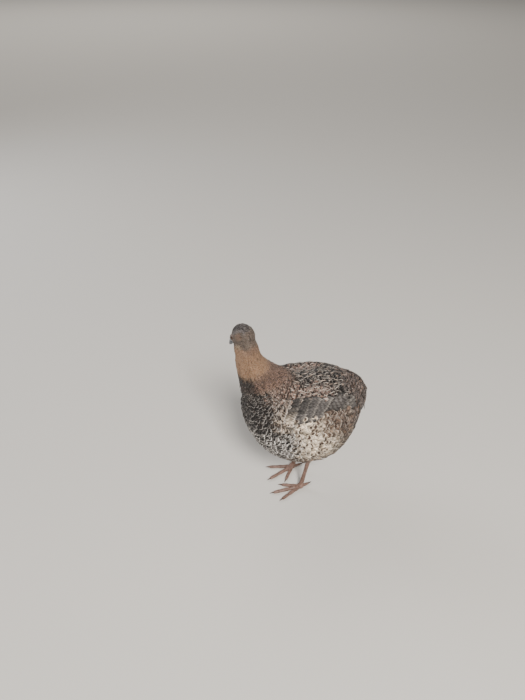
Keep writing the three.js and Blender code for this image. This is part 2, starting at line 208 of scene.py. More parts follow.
def makePlumage(name):
    board = Board(name, plumageSet["roughness"], Specular_IOR_Level=0.25, Sheen_Weight=plumageSet["sheen"],
                  Sheen_Roughness=0.45)
    u, v, _ = board.split(board.add("UVMap", uv_map="vane").outputs[0])
    side = board.calc("ABSOLUTE", board.calc("MULTIPLY_ADD", u, 2.0, -1.0))
    bars, speckle, streak = board.split(board.attribute("marks"))
    count, chevron, phase = board.split(board.attribute("form"))
    fringe, spot, tint = board.split(board.attribute("edges"))
    dark, pale = board.attribute("dark", "Fac"), board.attribute("pale", "Color")
    free = board.calc("SUBTRACT", v, board.attribute("cover", "Fac"))  # above 0 where it is not covered
    fine = board.noise(plumageSet["fine"], 2)
    # cross bars, bent the more the nearer they are to the edge
    bent = board.calc("MULTIPLY_ADD", board.calc("POWER", side, 1.4), chevron, v)
    run = board.calc("MULTIPLY_ADD", bent, count, phase)
    run = board.calc("MULTIPLY_ADD", fine, 0.4, run)
    wave = board.calc("SINE", board.times(run, 2 * math.pi))
    wave = board.calc("ADD", wave, board.calc("MULTIPLY_ADD", dark, 2.0, -1.0))
    barred = board.times(board.ramp(wave, -0.2, 0.25), bars)
    flecks = board.times(board.ramp(board.noise(plumageSet["specks"], 1), 0.5, 0.6), speckle)
    # a dark arrowhead near the tip
    arrow = board.calc("SUBTRACT", board.calc("MULTIPLY_ADD", v, -3.4, 3.15), side)
    arrow = board.calc("MULTIPLY_ADD", fine, 0.5, arrow)
    arrow = board.times(board.ramp(arrow, -0.05, 0.2), board.ramp(v, 0.66, 0.78))
    arrow = board.times(arrow, spot)
    marked = board.calc("MINIMUM", board.calc("ADD", board.calc("ADD", barred, flecks), arrow), 1.0)
    coat = board.mix(marked, board.attribute("base", "Color"), board.attribute("mark", "Color"))
    # a pale line down the shaft and a pale rim round the tip
    wide = board.calc("MULTIPLY_ADD", streak, 0.14, 0.02)
    shaft = board.ramp(board.calc("SUBTRACT", wide, side), -0.05, 0.05)
    shaft = board.times(shaft, board.ramp(v, 0.45, 0.6))
    shaft = board.times(shaft, board.calc("MINIMUM", streak, 1.0))
    coat = board.mix(shaft, coat, pale)
    edge = board.calc("MULTIPLY_ADD", board.calc("POWER", side, 2.5), 0.2, v)
    coat = board.mix(board.times(board.ramp(edge, 0.92, 0.985), fringe), coat, pale)
    # greyer down where it is covered
    covered = board.times(board.ramp(free, -0.15, -0.35), 0.8)
    coat = board.mix(covered, coat, linear(plumageSet["down"]))
    leaned = board.times(side, -plumageSet["sweep"])
    barbs = board.calc("MULTIPLY_ADD", v, plumageSet["barbs"], leaned)
    barbs = board.calc("SINE", board.times(barbs, 2 * math.pi))
    shade = board.times(board.ramp(barbs, -1.0, 1.0, 0.86, 1.08), tint)
    # painted shade where the next vanes lie over this one
    shade = board.times(shade, board.ramp(free, -0.15, 0.2, plumageSet["overlapShade"], 1.0))
    clouds = board.noise(plumageSet["clouds"], 2)
    shade = board.times(shade, board.ramp(clouds, 0.3, 0.7, 0.84, 1.12))
    grey = board.add("CombineColor", dict.fromkeys(range(3), shade)).outputs[0]
    board.colour(board.mix(1.0, coat, grey, "MULTIPLY"))
    board.bump(board.calc("ADD", board.times(barbs, 0.3), board.ramp(side, 0.1, 0.0)), 0.35, 0.00012)
    return board.material


plumage = makePlumage("plumage")
print("plumage material ready")


headSet = {"at": (-50.5 + shiftX, 0, 180), "turn": -60, "dip": -38}  # as in the solids
headPose = (
    Matrix.Translation(headSet["at"])
    @ Matrix.Rotation(math.radians(headSet["turn"]), 4, "Z")
    @ Matrix.Rotation(math.radians(headSet["dip"]), 4, "Y")
)
headTurn = np.array(headPose.to_3x3())
headAt = np.array(headSet["at"])
sides = {"left": -1, "right": 1}
eyeSet = {
    "x": -4.2, "y": 5.2, "z": 1.6,  # in the head's own axes, mm
    "radius": 3.0,
    "bulge": 0.1,  # how far the clear front stands out, as a share
    "gaze": (-0.28, 1.0, 0.04),
    "pupil": 0.9, "iris": 0.7,  # as cosines from the gaze
    "tones": {"iris": ("2c1a10", "45291a"), "rim": "15100d", "pupil": "050404"},
}
eyeAt = {side: headAt + headTurn @ np.array([eyeSet["x"], sign * eyeSet["y"], eyeSet["z"]])
         for side, sign in sides.items()}


def toHead(points):  # from the bird's own axes to the head's, mm
    return (points - headAt) @ headTurn


skinSet = {
    "nodes": ["torso", "neck", "head", "thigh_left", "thigh_right"],
    "under": ["wing_left", "wing_right"],  # the wings' flesh belongs to it too
    # x, y, z and radius of what fills out the throat, the nape and the rump
    "fillers": [(-50.2, -2.4, 168.5, 8.6), (-46.5, -4.5, 171.0, 8.0), (41.5, 0, 101.0, 21.0)],
    "voxel": 1.0,
    "grow": 2.2,  # before the remesh, taken back after it
    "rounds": 70,  # of smoothing
    "depth": 1.8,  # how far it lies inside the solids where the feathers are full size
}


def coatScale(points):  # the size of the feathers, 1 on the flank, smallest on the face
    head = toHead(points)
    away = np.linalg.norm(head * [1, 1, 0.95], axis=1)
    onHead = 0.19 + 0.11 * rise(head[:, 0], -7, 6) + 0.05 * rise(head[:, 2], 2, 8)
    onHead = onHead * (0.66 + 0.34 * rise(np.hypot(head[:, 0] - eyeSet["x"], head[:, 2] - eyeSet["z"]), 3.4, 6))
    down = 0.38 + 0.62 * rise(-points[:, 2], -163, -108)
    fore = rise(-points[:, 0], 12, 34) * rise(points[:, 2], 70, 90)
    down = down * (1 - 0.16 * fore)
    down = down * (1 - 0.45 * rise(-points[:, 2], -50, -42))  # thighs
    return onHead + (down - onHead) * rise(away, 9.5, 16)


def joinNodes(names, grow, fillers=()):  # in one mesh, merged and grown, so that a remesh closes their gaps
    whole = bmesh.new()
    for name in names:
        one = bmesh.new()
        one.from_mesh(nodes[name].data)
        bmesh.ops.remove_doubles(one, verts=one.verts, dist=2e-6)
        one.normal_update()
        for vertex in one.verts:
            vertex.co += vertex.normal * grow * mm
        loose = bpy.data.meshes.new(name)
        one.to_mesh(loose)
        one.free()
        whole.from_mesh(loose)
        bpy.data.meshes.remove(loose)
    for x, y, z, radius in fillers:
        bmesh.ops.create_uvsphere(whole, u_segments=24, v_segments=16, radius=(radius + grow) * mm,
                                  matrix=Matrix.Translation(np.array([x + shiftX, y, z]) * mm))
    mesh = bpy.data.meshes.new("joined")
    whole.to_mesh(mesh)
    whole.free()
    return mesh


def remeshed(name, mesh, voxel, smooth):
    thing = addObject(name, mesh)
    grid = thing.modifiers.new("voxels", "REMESH")
    grid.mode = "VOXEL"
    grid.voxel_size = voxel * mm
    relax = thing.modifiers.new("relax", "SMOOTH")
    relax.factor = 0.5
    relax.iterations = smooth
    graph = bpy.context.evaluated_depsgraph_get()
    made = bpy.data.meshes.new_from_object(thing.evaluated_get(graph))
    thing.modifiers.clear()
    thing.data = made
    made.name = name
    made.shade_smooth()
    bpy.data.meshes.remove(mesh)
    return thing


def fetched(items, key, width, kind=np.float32):
    values = np.empty(width * len(items), kind)
    items.foreach_get(key, values)
    return values.reshape(-1, width)


def readPoints(mesh):  # points and normals, mm
    points, normals = fetched(mesh.vertices, "co", 3), fetched(mesh.vertex_normals, "vector", 3)
    return points.astype(float) / mm, normals.astype(float)


def writePoints(mesh, points):
    mesh.vertices.foreach_set("co", (points * mm).astype(np.float32).ravel())
    mesh.update()


def addLayer(mesh, name, values):  # one value, vector or colour a point
    kind, key = ("FLOAT", "value") if values.ndim == 1 else ("FLOAT_VECTOR", "vector")
    if name in ("base", "mark", "pale"):
        kind, key = "FLOAT_COLOR", "color"
        values = np.concatenate([values, np.ones((len(values), 1))], 1)
    mesh.attributes.new(name, kind, "POINT").data.foreach_set(key, values.astype(np.float32).ravel())


def relaxed(mesh, points, share, rounds):  # smoothed, more where share is larger
    ends = fetched(mesh.edges, "vertices", 2, np.int32)
    a, b = ends.T
    count = len(points)
    degree = np.bincount(ends.ravel(), minlength=count)[:, None]
    for _ in range(rounds):
        near = [np.bincount(a, points[b, k], count) + np.bincount(b, points[a, k], count) for k in range(3)]
        points = points + (np.stack(near, 1) / degree - points) * share[:, None]
    return points


flesh = joinNodes(skinSet["nodes"] + skinSet["under"], skinSet["grow"], skinSet["fillers"])
skin = remeshed("skin", flesh, skinSet["voxel"], 4)
skinPoints, skinNormals = readPoints(skin.data)
# how much it is smoothed: least on the head, less on the thighs than on the body
calm = rise(np.linalg.norm(toHead(skinPoints), axis=1), 11, 20)
calm *= (0.16 + 0.3 * rise(-skinPoints[:, 2], -158, -130)) * (1 - 0.6 * rise(-skinPoints[:, 2], -50, -44))
skinPoints = relaxed(skin.data, skinPoints, 0.04 + calm, skinSet["rounds"])
writePoints(skin.data, skinPoints)
skinPoints, skinNormals = readPoints(skin.data)
depth = skinSet["depth"] * (0.12 + 0.88 * coatScale(skinPoints)) + skinSet["grow"]
writePoints(skin.data, skinPoints - skinNormals * depth[:, None])
skinPoints, skinNormals = readPoints(skin.data)
skin.data.calc_loop_triangles()
skinFaces = fetched(skin.data.loop_triangles, "vertices", 3, np.int32)
skinTree = BVHTree.FromPolygons(skinPoints.tolist(), skinFaces.tolist())
print("skin ready", len(skinFaces), "triangles")


def lie(points):  # the way the feathers point
    x, y, z = points.T
    down = unit(np.stack([turnZ - z, 0 * y, x - shiftX], 1))  # down the neck and breast
    tailward = unit(np.array([78.0, 0, 72]) - points)
    way = down + (tailward - down) * rise(x, -5, 28)[:, None]
    fall = rise(-z, -62, -50) * rise(-np.abs(x - 4), -18, -8)
    way = way + np.array([0.1, 0, -0.8]) * fall[:, None]  # the thighs' feathers hang
    head = toHead(points)
    chin = rise(-head[:, 2], 2, 8)[:, None] * np.array([[-0.1, 0, -0.9]])
    nape = (np.array([[1.0, 0, 0]]) + chin) @ headTurn.T
    away = np.linalg.norm(head, axis=1)
    way = nape + (way - nape) * rise(away + 0.35 * head[:, 0], 8.5, 16)[:, None]
    for side in sides:  # they part round the eye
        toward = eyeAt[side] - points
        near = rise(-np.linalg.norm(toward, axis=1), -9, -4.5)
        toward = unit(toward)
        into = np.clip((way * toward).sum(1), 0, None) * near
        way = way - 1.15 * into[:, None] * toward
    return unit(way)


tones = {key: linear(value) for key, value in {
    "crown": "363233", "crownMark": "1c191a", "cheek": "6f6157", "throat": "a38d72",
    "brow": "908a88", "nape": "a18470", "neckBuff": "aa8566", "neckMark": "604a3c",
    "rufous": "9e8276", "rufousMark": "2f2420", "breast": "393432", "breastMark": "110f0f", "zigzag": "beaa9a",
    "lattice": "97928f", "latticeMark": "181616", "flank": "ffedd3", "flankMark": "3c2c25",
    "tan": "8a756a", "belly": "61544c", "vent": "4f4440",
    "back": "423e3f", "backMark": "0f0d0d", "wing": "625e5c", "wingMark": "302c2b",
    "rump": "7d6e68", "rumpMark": "221c1a",
    "cream": "cfc5b9", "white": "f9f5ee", "grey": "9d9894", "ochre": "a77c52",
}.items()}

patterns = {
    # base, mark and pale colours; bars, specks, shaft line; bars' number, bend, dark share; rim, arrowhead
    "back": ("back", "backMark", "cream", (0.9, 0.1, 0.8), (2.6, -0.1, 0.58), (0.4, 0.5)),
    "rump": ("rump", "rumpMark", "grey", (0.85, 0.2, 0.3), (2.6, -0.1, 0.5), (0.5, 0.3)),
    "rusty": ("rufous", "rufousMark", "cream", (0.85, 0.25, 0.8), (2.6, -0.1, 0.46), (0.4, 0.4)),
    "breast": ("breast", "breastMark", "grey", (0.9, 0.1, 0.1), (4.5, 0.3, 0.6), (0.9, 0.5)),
    "zigzag": ("zigzag", "breastMark", "cream", (0.85, 0.1, 0.1), (3.5, 0.35, 0.5), (0.9, 0.6)),
    "flank": ("flank", "flankMark", "white", (0.5, 0.15, 0.1), (3, 0.6, 0.28), (0.35, 0.9)),
    "lattice": ("lattice", "latticeMark", "white", (0.6, 0.1, 0.1), (3, 0.35, 0.5), (1, 1.2)),
    "under": ("vent", "flankMark", "cream", (0.5, 0.1, 0.1), (3.5, 0.3, 0.35), (0.4, 0.2)),
    "belly": ("belly", "rumpMark", "cream", (0.45, 0.1, 0.1), (3.5, 0.3, 0.35), (0.3, 0.3)),
    "tan": ("tan", "flankMark", "cream", (0.7, 0.2, 0.2), (2.8, 0.4, 0.36), (0.6, 0.7)),
    "vent": ("rump", "rumpMark", "grey", (0.75, 0.2, 0.1), (4, 0.1, 0.45), (0.3, 0.4)),
    "neckFoot": ("rufous", "breastMark", "neckBuff", (0.7, 0.3, 0.3), (5, 0.1, 0.5), (0.45, 0.4)),
    "neckFront": ("breast", "breastMark", "grey", (0.8, 0.2, 0.1), (5, 0.2, 0.6), (0.5, 0.6)),
    "buff": ("neckBuff", "neckMark", "cream", (0.2, 0.15, 0.15), (5, 0.1, 0.4), (0.3, 0.1)),
    "nape": ("nape", "crownMark", "neckBuff", (0.5, 0.3, 0.4), (4, 0, 0.4), (0.3, 0.2)),
    "cheek": ("cheek", "crownMark", "cream", (0.4, 0.3, 0.3), (3, 0, 0.4), (0.25, 0.2)),
    "throat": ("throat", "cheek", "white", (0.1, 0.1, 0), (4, 0, 0.3), (0.2, 0)),
    "crown": ("crown", "crownMark", "brow", (0.6, 0.2, 0.8), (3, 0.2, 0.5), (0.5, 0.3)),
    "brow": ("brow", "crown", "cream", (0.3, 0.2, 0), (4, 0, 0.4), (0.3, 0.1)),
    "stripe": ("brow", "crown", "cream", (0.2, 0.2, 0), (4, 0, 0.4), (0.3, 0)),
    "ear": ("nape", "crownMark", "cheek", (0.4, 0.3, 0.1), (4, 0, 0.4), (0.2, 0.2)),
}


def markings(points, seed):  # what each feather carries, by its place
    count = len(points)
    draw = np.random.default_rng(seed)
    head = toHead(points)
    x, y, z = (points + draw.normal(0, 1.2, (count, 1))).T  # the regions run into one another
    x = x - shiftX
    reach = np.hypot(y, np.clip(-20 - x, 0, None))
    round_ = np.degrees(np.arctan2(z - axisZ, reach)) + draw.normal(0, 2, count)  # 90 on the back, 0 at the side
    out = {key: np.zeros((count, 3)) for key in ("base", "mark", "pale", "marks", "form", "edges")}
    out["dark"] = np.zeros(count)
    out["cover"] = np.full(count, 0.65)  # how much of a vane the next ones hide

    def lay(pattern, weight):
        base, mark, pale, marks, (number, bend, dark), edges = patterns[pattern]
        values = (tones[base], tones[mark], tones[pale], marks, (number, bend, 0), (*edges, 1))
        for key, value in zip(out, values):
            out[key] += (np.array(value) - out[key]) * weight[:, None]
        out["dark"] += (dark - out["dark"]) * weight

    lay("back", np.ones(count))
    lay("rump", rise(x, 18, 40))
    rusty = rise(-np.abs(round_ - 66 + 0.1 * x), -13, -6) * rise(-x, -22, -6) * rise(x, -50, -36)
    lay("rusty", rusty)  # the shoulder feathers over the wing
    lay("breast", rise(-x, 12, 26) * rise(-round_, -66, -54))
    lay("zigzag", rise(-np.abs(x + 25), -15, -8) * rise(-np.abs(round_ - 45), -16, -9))  # before the wing
    low = rise(-round_, -50, -40)
    flank = low * rise(x, -34, -18)
    lay("flank", flank)
    lay("lattice", rise(-round_, -34, -20) * rise(-x, 14, 29))  # lower breast and front belly
    # darker toward the underside: partly the plumage's own tone, partly painted shade
    lay("under", rise(-round_, 8, 36))
    soft = rise(x + 0.15 * round_, 0, 17) * rise(-round_, -46, -34)  # browner and plainer to the rear
    lay("belly", soft * 0.85)
    lay("tan", 0.75 * rise(round_, 4, 20) * low * rise(x, -12, 4))  # below the wing
    vent = rise(x, 24, 36)
    lay("vent", vent)
    # the neck's foot is brown and in front dark, above it the neck is buff, and browner up the nape
    onNeck = rise(z, 132, 142)
    lay("neckFoot", onNeck)
    neckFront = onNeck * rise(-x, 43, 50)
    lay("neckFront", neckFront)
    lay("buff", rise(z - 0.25 * x, 157, 165))
    lay("nape", rise(z, 168, 176))
    onHead = rise(-np.linalg.norm(head * [0.95, 1, 1], axis=1), -11.8, -9.6)
    lay("cheek", onHead)
    lay("throat", onHead * rise(-head[:, 2], 3, 6.5) * rise(-head[:, 0], 0, 4))
    lay("crown", onHead * rise(head[:, 2], 3.2, 5.4))
    overEye = rise(-np.abs(head[:, 2] - 5 - 0.12 * head[:, 0]), -1.5, -0.5)
    lay("brow", onHead * (overEye * rise(np.abs(head[:, 1]), 3.5, 5)) * 0.7)
    lay("stripe", onHead * rise(head[:, 2], 6, 8) * rise(-np.abs(head[:, 1]), -1.0, -0.4) * 0.6)
    byEar = rise(-np.linalg.norm((head - [1.5, 0, 0.5]) * [1, 0, 1], axis=1), -3.4, -1.8)
    lay("ear", onHead * byEar * 0.7)
    # no two feathers are quite alike
    out["form"][:, 0] *= draw.uniform(0.8, 1.2, count)
    out["form"][:, 1] *= draw.uniform(0.6, 1.4, count)
    out["form"][:, 2] = draw.uniform(-0.35, 0.35, count)
    out["edges"][:, 0] *= draw.uniform(0.5, 1.25, count)
    out["edges"][:, 1] *= np.where(draw.random(count) < 0.5, 1.2, 0.2)
    out["marks"][:, 2] *= np.where(draw.random(count) < 0.5, 1.0, 0.15)
    # the tint: lighter on the flank, darker to the rear, at the neck's foot and on the back, and darker below as
    # painted shade of the underside
    tint = 1 + 0.2 * flank - 0.35 * soft - 0.3 * rise(-round_, 2, 30)
    tint -= 0.25 * neckFront * rise(-z, -154, -142)
    tint -= 0.14 * rise(round_, 60, 75) * rise(-z, -132, -120)
    even = np.maximum(rusty, onNeck)  # these parts are the most even
    tint += (draw.normal(0, 0.2, count) * (1 - 0.5 * even)).clip(-0.5, 0.5)
    out["edges"][:, 2] = tint
    warm = draw.normal(0.08, 0.12, count).clip(0, 0.45)
    warm *= 0.15 + 0.85 * np.maximum(rusty * 0.6, np.maximum(flank, vent))
    out["base"] += (tones["ochre"] - out["base"]) * warm[:, None]
    return out


vaneSet = {
    # where it is cut across, as shares of the length
    "rows": [0, 0.25, 0.44, 0.57, 0.66, 0.73, 0.785, 0.83, 0.87, 0.905, 0.935, 0.96, 0.98],
    "knots": 5,
    "widest": 0.64,
    "notch": 0.05,  # how far the barbs' ends part
    "splits": 0.04,  # how many notches are torn deep
    "push": (-0.003, 0.011),  # how far notches and barbs' ends are moved to the tip, as shares
    "patch": 0.003,  # the size of one feather on the map OFBake
}


def lagrange(t, knots):  # weights that carry a smooth curve through evenly spaced knots
    spots = np.linspace(0, 1, knots)
    weights = np.ones((len(t), knots))
    for i in range(knots):
        for j in range(knots):
            if i != j:
                weights[:, i] *= (t - spots[j]) / (spots[i] - spots[j])
    return weights


def unwrap(points):  # the skin laid out flat: round the body, and along it from bill to tail
    x, y, z = points.T
    along = np.degrees(np.arctan2(turnZ - z, shiftX - x))
    behind = x > shiftX
    along = np.where(behind, 90 + (x - shiftX) * 0.9, along)
    reach = np.where(behind, turnZ - z, np.hypot(x - shiftX, z - turnZ))
    middle = 47 + 33 * rise(along, 0, 90)  # how far the body's middle line lies from the arc's centre
    turn = np.arctan2(y, reach - middle)
    return np.stack([0.5 + turn / (2 * math.pi) * 0.98, (along + 60) / 215], 1)


def vaneFaces(rows):  # corners, sizes and smoothness of one vane: rows of left edge, shaft and right edge
    grid = np.arange(3 * (rows + 1)).reshape(rows + 1, 3)
    tip = grid.size
    faces, smooth = [[grid[0, 0], grid[0, 1], grid[0, 2]]], [False]
    for (a, b, c), (d, e, f) in zip(grid[:-1], grid[1:]):
        faces += [[a, d, e, b], [b, e, f, c], [c, f, d, a]]
        smooth += [True, True, False]
    a, b, c = grid[-1]
    faces += [[a, tip, b], [b, tip, c], [c, tip, a]]
    smooth += [True, True, False]
    return np.concatenate(faces), np.array([len(face) for face in faces]), np.array(smooth)


# closed vanes: the root is sunk by a share of the lift, camber raises the shaft and lean one edge
def vaneMesh(name, paths, normals, widths, lifts, marks, seed, sunk=0.4, camber=0.06, lean=0.0, ragged=1.0,
             widest=vaneSet["widest"], cuts=vaneSet["rows"]):
    draw = np.random.default_rng(seed)
    count, knots = paths.shape[:2]
    t = np.array(cuts)
    spots = np.append(t, 1.0)
    weights = lagrange(spots, knots)
    slope = lagrange(np.clip(spots + 0.02, 0, 1), knots) - lagrange(np.clip(spots - 0.02, 0, 1), knots)
    middle = np.einsum("rk,nkc->nrc", weights, paths)
    up = unit(np.einsum("rk,nkc->nrc", weights, normals))
    forward = unit(np.einsum("rk,nkc->nrc", slope, paths))
    across = unit(np.cross(up, forward))
    length = np.linalg.norm(paths[:, -1] - paths[:, 0], axis=1)
    outline = np.where(t < widest, 0.42 + 0.58 * np.sin(0.5 * math.pi * t / widest),
                       np.sqrt(np.clip(1 - np.abs((t - widest) / (1 - widest)) ** 2.2, 0, 1)))
    climb = (1 + sunk) * t - sunk
    # every other row is a notch between two barbs, and here and there it is torn deep
    notched = np.arange(len(t)) % 2 == 0
    notch = notched * vaneSet["notch"] * ragged
    jag = 1 - notch * draw.uniform(0.5, 1.5, (2, count, len(t)))
    torn = (draw.random(jag.shape) < vaneSet["splits"] * ragged) & (notch > 0) & (t > 0.4)
    jag = np.where(torn, jag * 0.7, jag)
    push = length[:, None] * np.where(notched, *vaneSet["push"]) * draw.uniform(0.5, 1.5, jag.shape)
    half = widths[:, None] / 2 * outline
    roll = np.full(count, lean)[:, None]
    points = np.empty((count, len(t), 3, 3))
    flat = np.empty((count, len(t), 3, 2))
    flat[..., 1] = t[None, :, None]
    for column, sign in enumerate((-1, 0, 1)):  # left edge, shaft, right edge
        b = sign * jag[column // 2]
        forth = push[column // 2] * abs(sign) * ragged
        lift = lifts[:, None] * climb + camber * widths[:, None] * outline * (1 - np.abs(b)) + roll * half * b * t
        points[:, :, column] = middle[:, :-1] + across[:, :-1] * (half * b)[..., None]
        points[:, :, column] += up[:, :-1] * lift[..., None] + forward[:, :-1] * forth[..., None]
        flat[:, :, column, 0] = 0.5 + b / 2
    end = middle[:, -1] + up[:, -1] * lifts[:, None] + forward[:, -1] * 0.02 * length[:, None]
    points = np.concatenate([points.reshape(count, -1, 3), end[:, None]], 1)
    flat = np.concatenate([flat.reshape(count, -1, 2), np.tile([[0.5, 1.0]], (count, 1, 1))], 1)
    each = points.shape[1]
    template, sizes, smooth = vaneFaces(len(t) - 1)
    corners = (template[None] + each * np.arange(count)[:, None]).ravel()
    totals = np.tile(sizes, count)
    starts = np.concatenate([[0], np.cumsum(totals)[:-1]])
    mesh = bpy.data.meshes.new(name)
    mesh.vertices.add(count * each)
    mesh.vertices.foreach_set("co", (points.reshape(-1, 3) * mm).astype(np.float32).ravel())
    mesh.loops.add(len(corners))
    mesh.loops.foreach_set("vertex_index", corners.astype(np.int32))
    mesh.polygons.add(len(totals))
    mesh.polygons.foreach_set("loop_start", starts.astype(np.int32))
    mesh.polygons.foreach_set("use_smooth", np.tile(smooth, count))
    mesh.update(calc_edges=True)
    patch = unwrap(paths[:, 0])[:, None] + (flat - 0.5) * vaneSet["patch"]
    for layer, spread in ("vane", flat), ("OFBake", patch):
        given = spread.reshape(-1, 2)[corners].astype(np.float32)
        mesh.uv_layers.new(name=layer).data.foreach_set("uv", given.ravel())
    for key, value in marks.items():
        addLayer(mesh, key, np.repeat(value, each, axis=0))
    mesh.materials.append(plumage)
    piece = addObject(name, mesh)
    print("  ", name, count, "vanes", int((sizes - 2).sum()) * count, "triangles")
    return piece


coatSet = {
    "length": 11.5,
    "width": 5.6,
    "spacing": 2.1,
    "lift": 1.4,
    "lean": 0.1,  # the upper feather's low edge lies over the lower one
    "slim": 0.3, "flat": 0.35,  # how much narrower and flatter the smallest are
    "ruffled": 0.07,  # the share that stands a little off
    "camber": 0.06, "smallCamber": 0.035,  # how high the shaft stands, as shares of the width
    "wingBed": (-29, 36, 39, 56),  # x, and degrees up the side, between which the closed wing hides the coat
    "lid": 2.9,  # bare round the eye
    "candidates": 170000,
    "seed": 11,
}


def nearest(point):  # the skin's nearest point and its normal there
    spot, _, face, _ = skinTree.find_nearest(Vector(point))
    return np.array(spot), skinNormals[skinFaces[face]].mean(0)


def traced(roots, ways, lengths):  # each feather's middle line, laid along the skin
    knots = vaneSet["knots"]
    paths = np.empty((len(roots), knots, 3))
    normals = np.empty((len(roots), knots, 3))
    for k, (point, way, length) in enumerate(zip(roots, ways, lengths)):
        spot, up = nearest(point)
        for i in range(knots):
            paths[k, i], normals[k, i] = spot, up
            way = way - up * (way @ up)
            way = way / (np.linalg.norm(way) + 1e-9)
            spot, up = nearest(spot + way * length / (knots - 1))
    return paths, unit(normals)


def wingCover(points):  # true where the closed wing hides the coat below it
    x, y, z = points.T
    x = x - shiftX
    round_ = np.degrees(np.arctan2(z - axisZ, np.abs(y)))
    front, back, low, high = coatSet["wingBed"]
    return (x > front) & (x < back) & (round_ > low) & (round_ < high - 0.05 * x)


def scatter():  # roots spread evenly over the skin, closer where the feathers are smaller
    draw = np.random.default_rng(coatSet["seed"])
    corners = skinPoints[skinFaces]
    areas = np.linalg.norm(np.cross(corners[:, 1] - corners[:, 0], corners[:, 2] - corners[:, 0]), axis=1) / 2
    scale = coatScale(corners.mean(1))
    chance = areas / scale ** 2
    picked = draw.choice(len(areas), coatSet["candidates"], p=chance / chance.sum())
    a, b = draw.random((2, len(picked)))
    flip = a + b > 1
    a, b = np.where(flip, 1 - a, a), np.where(flip, 1 - b, b)
    base = corners[picked]
    points = base[:, 0] + a[:, None] * (base[:, 1] - base[:, 0]) + b[:, None] * (base[:, 2] - base[:, 0])
    head = toHead(points)
    free = ~wingCover(points)
    for sign in sides.values():  # none on the lids or the bill
        gap = np.hypot(head[:, 0] - eyeSet["x"], (head[:, 2] - eyeSet["z"]) * 1.12)
        clear = coatSet["lid"] - 0.8 * rise(head[:, 0] - eyeSet["x"], 0.2, 1.6)
        free &= (gap > clear) | (head[:, 1] * sign < 3)
    onBill = (head[:, 0] < -10.4) & (head[:, 0] > -20) & (np.hypot(head[:, 1], head[:, 2] + 1.4) < 2.9)
    free &= ~onBill
    points = points[free]
    scale = coatScale(points)
    order = np.argsort(-points[:, 2] * 0.4 + points[:, 0] * 0.3 + draw.uniform(0, 6, len(points)))
    tree = KDTree(len(points))
    for k, point in enumerate(points):
        tree.insert(point, k)
    tree.balance()
    taken = np.zeros(len(points), bool)
    kept = []
    for k in order:
        if taken[k]:
            continue
        kept.append(k)
        for _, other, _ in tree.find_range(points[k], coatSet["spacing"] * scale[k]):
            taken[other] = True
    return points[kept], scale[kept]


roots, scale = scatter()
print("coat:", len(roots), "feathers")
draw = np.random.default_rng(coatSet["seed"] + 1)
lengths = coatSet["length"] * scale * draw.normal(1, 0.07, len(roots)).clip(0.8, 1.2)
lengths *= 1 + 0.2 * rise(-scale, -0.75, -0.4)
ways = lie(roots)
ways += draw.normal(0, 0.15, ways.shape)
for side in sides:  # none reaches over the eye
    gap = np.linalg.norm(roots - eyeAt[side], axis=1)
    toward = (unit(eyeAt[side] - roots) * unit(ways)).sum(1)
    close = (gap < 9) & (toward > 0.2)
    lengths = np.where(close, np.minimum(lengths, (gap - 3.3) / toward.clip(0.3, 1)), lengths)
keep = lengths > 0.8
roots, scale, lengths, ways = roots[keep], scale[keep], lengths[keep], ways[keep]
paths, normals = traced(roots, ways, lengths)
widths = coatSet["width"] * scale * draw.normal(1, 0.07, len(roots))
widths = np.minimum(widths, lengths * 0.75) * (1 - coatSet["slim"] * rise(-scale, -0.75, -0.4))
lifts = coatSet["lift"] * scale ** 0.9 * draw.normal(1, 0.12, len(roots)).clip(0.6, 1.4)
lifts *= 1 - coatSet["flat"] * rise(-scale, -0.6, -0.3)
lifts *= np.where(draw.random(len(roots)) < coatSet["ruffled"], 1.5, 1)
leans = coatSet["lean"] * np.clip(roots[:, 1] / 8, -1, 1) + draw.normal(0, 0.03, len(roots))
marks = markings(roots, coatSet["seed"] + 2)

head = toHead(roots)
onHead = np.linalg.norm(head, axis=1) < 12.5
onNeck = ~onHead & (roots[:, 2] > 132)
body = ~onHead & ~onNeck
rear = body & (roots[:, 0] > 2)
high = roots[:, 2] > 86
regions = {
    "coat_head": (onHead, "head_feathers"),
    "coat_neck_left": (onNeck & (roots[:, 1] < -2), "neck_feathers"),
    "coat_neck_right": (onNeck & (roots[:, 1] >= -2), "neck_feathers"),
    "coat_back": (rear & high, "body_feathers"),
    "coat_belly": (rear & ~high, "body_feathers"),
    "coat_shoulder": (body & ~rear & high, "body_feathers"),
    "coat_breast": (body & ~rear & ~high, "body_feathers"),
}
for name, (chosen, slot) in regions.items():
    picked = {key: value[chosen] for key, value in marks.items()}
    piece = vaneMesh(name, paths[chosen], normals[chosen], widths[chosen], lifts[chosen], picked, len(name),
                     lean=leans[chosen], camber=coatSet["camber" if slot == "body_feathers" else "smallCamber"],
                     cuts=vaneSet["rows"][::2 if name == "coat_head" else 1])
    settle(piece, slot)

# the skin itself wears the same markings, darker, as painted shade in the gaps between the feathers
addLayer(skin.data, "base", markings(skinPoints, coatSet["seed"] + 3)["base"] * 0.4)
under = Board("down", 0.95)
fuzz = under.noise(900, 3)
tufts = under.ramp(fuzz, 0.35, 0.75, 0.0, 0.5)
under.colour(under.mix(tufts, under.attribute("base", "Color"), linear(plumageSet["down"])))
under.bump(fuzz, 0.5, 0.0004)
skin.data.materials.clear()
skin.data.materials.append(under.material)
settle(skin, "body_feathers", *skinSet["nodes"])
print("coat ready")


